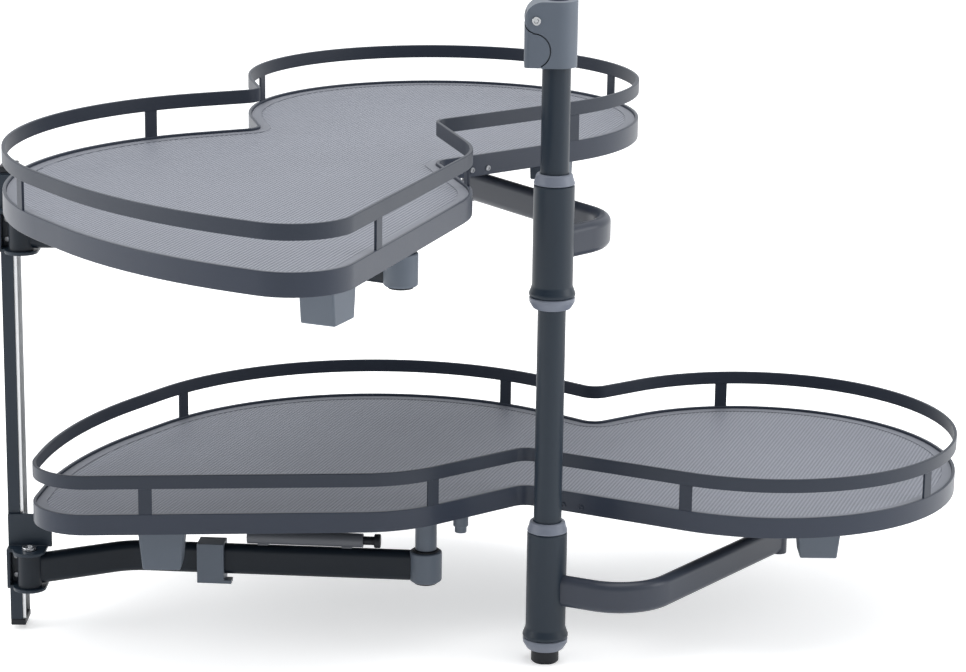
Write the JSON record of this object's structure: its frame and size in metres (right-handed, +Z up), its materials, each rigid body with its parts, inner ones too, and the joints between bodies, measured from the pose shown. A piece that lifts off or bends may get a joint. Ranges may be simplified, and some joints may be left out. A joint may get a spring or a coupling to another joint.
{
  "type": "blind corner swing-out shelf unit",
  "caption": "Kidney-shaped shelf trays with gallery rails on a telescopic post, each swung out by a bent arm and a cranked guide arm from a wall rail; lower stored, upper open.",
  "frame": {"origin": "centre of the post foot's underside, on the cabinet floor", "axes": "+Z up along the post, +X from the wall rail towards the post, +Y into the cabinet, away from the opening"},
  "size_m": [0.882, 0.8627, 0.6],
  "materials": {
    "powder_graphite": "satin powder coat",
    "powder_slate": "satin powder coat",
    "blue_grey_plastic": "fine matt",
    "pale_grey_plastic": "matt",
    "black_plastic": "matt",
    "bright_steel": "bright plated",
    "rail_steel": "satin plated",
    "coated_board": "dark foil on particle board",
    "ribbed_mat": "fine ribbed non-slip"
  },
  "bodies": {
    "frame": {"post_tube": "powder_graphite", "post_foot": "black_plastic", "clamp_head": "blue_grey_plastic", "lever_screw": "bright_steel", "wall_rail": "powder_graphite", "rail_liner": "rail_steel", "rail_end_caps": "black_plastic", "rail_screws": "bright_steel", "lower_support_collar": "blue_grey_plastic", "lower_cover_collar": "blue_grey_plastic", "upper_support_collar": "blue_grey_plastic", "upper_cover_collar": "blue_grey_plastic", "lower_bracket": "powder_graphite", "upper_bracket": "powder_graphite", "lower_wall_pin": "bright_steel", "upper_wall_pin": "bright_steel"},
    "telescope": {"inner_tube": "bright_steel", "inner_tube_guide": "black_plastic"},
    "lever": {"clamp_lever": "blue_grey_plastic"},
    "lower_arm_group": {"lower_sleeve": "powder_slate", "lower_bushes": "black_plastic", "lower_swing_arm": "powder_slate", "lower_tray_pin": "bright_steel"},
    "lower_tray_group": {"lower_board": "coated_board", "lower_mat": "ribbed_mat", "lower_rim": "powder_slate", "lower_gallery": "powder_slate", "lower_uprights": "powder_slate", "lower_tray_hub": "powder_graphite", "lower_guide_boss": "blue_grey_plastic", "lower_support_blocks": "blue_grey_plastic", "lower_stop_buffer": "blue_grey_plastic", "lower_rim_screws": "bright_steel"},
    "lower_guide_group": {"lower_guide_arm": "powder_graphite", "lower_knuckle": "blue_grey_plastic", "lower_knuckle_caps": "black_plastic", "lower_arm_clip": "blue_grey_plastic", "lower_damper": "pale_grey_plastic"},
    "lower_plunger_group": {"lower_plunger": "black_plastic"},
    "upper_arm_group": {"upper_sleeve": "powder_slate", "upper_bushes": "black_plastic", "upper_swing_arm": "powder_slate", "upper_tray_pin": "bright_steel"},
    "upper_tray_group": {"upper_board": "coated_board", "upper_mat": "ribbed_mat", "upper_rim": "powder_slate", "upper_gallery": "powder_slate", "upper_uprights": "powder_slate", "upper_tray_hub": "powder_graphite", "upper_guide_boss": "blue_grey_plastic", "upper_support_blocks": "blue_grey_plastic", "upper_stop_buffer": "blue_grey_plastic", "upper_rim_screws": "bright_steel"},
    "upper_guide_group": {"upper_guide_arm": "powder_graphite", "upper_knuckle": "blue_grey_plastic", "upper_knuckle_caps": "black_plastic", "upper_arm_clip": "blue_grey_plastic", "upper_damper": "pale_grey_plastic"},
    "upper_plunger_group": {"upper_plunger": "black_plastic"}
  },
  "joints": [
    {"name": "telescope_slide", "type": "slide", "parent": "frame", "child": "telescope", "axis": [0, 0, 1], "range_m": [0, 0.15]},
    {"name": "lever_flip", "type": "hinge", "parent": "frame", "child": "lever", "pos_m": [-0.0185, 0, 0.584], "axis": [0, 1, 0], "range_deg": [0, 55]},
    {"name": "lower_arm_swing", "type": "hinge", "parent": "frame", "child": "lower_arm_group", "pos_m": [0, 0, 0.0695], "axis": [0, 0, 1], "range_deg": [0, 71]},
    {"name": "lower_tray_turn", "type": "hinge", "parent": "lower_arm_group", "child": "lower_tray_group", "pos_m": [0.22335, 0.15523, 0.103], "axis": [0, 0, 1], "range_deg": [-4.32, 0]},
    {"name": "lower_guide_swing", "type": "hinge", "parent": "frame", "child": "lower_guide_group", "pos_m": [-0.472, 0.046, 0.064], "axis": [0, 0, 1], "range_deg": [-24.07, 0]},
    {"name": "lower_plunger_push", "type": "slide", "parent": "lower_guide_group", "child": "lower_plunger_group", "axis": [0.9977, -0.0674, 0], "range_m": [-0.01, 0], "stiffness_N_per_m": 300, "springref_m": 0.003},
    {"name": "upper_arm_swing", "type": "hinge", "parent": "frame", "child": "upper_arm_group", "pos_m": [0, 0, 0.3855], "axis": [0, 0, 1], "range_deg": [-71, 0]},
    {"name": "upper_tray_turn", "type": "hinge", "parent": "upper_arm_group", "child": "upper_tray_group", "pos_m": [-0.07406, 0.26172, 0.419], "axis": [0, 0, 1], "range_deg": [0, 4.32]},
    {"name": "upper_guide_swing", "type": "hinge", "parent": "frame", "child": "upper_guide_group", "pos_m": [-0.472, 0.046, 0.38], "axis": [0, 0, 1], "range_deg": [0, 24.07]},
    {"name": "upper_plunger_push", "type": "slide", "parent": "upper_guide_group", "child": "upper_plunger_group", "axis": [0.8835, -0.4684, 0], "range_m": [-0.01, 0], "stiffness_N_per_m": 300, "springref_m": 0.003}
  ],
  "couplings": [
    {"joint": "lower_tray_turn", "follows": "lower_arm_swing", "ratio": -0.060718},
    {"joint": "lower_guide_swing", "follows": "lower_arm_swing", "ratio": -0.33894},
    {"joint": "upper_tray_turn", "follows": "upper_arm_swing", "ratio": -0.060718},
    {"joint": "upper_guide_swing", "follows": "upper_arm_swing", "ratio": -0.33894}
  ]
}
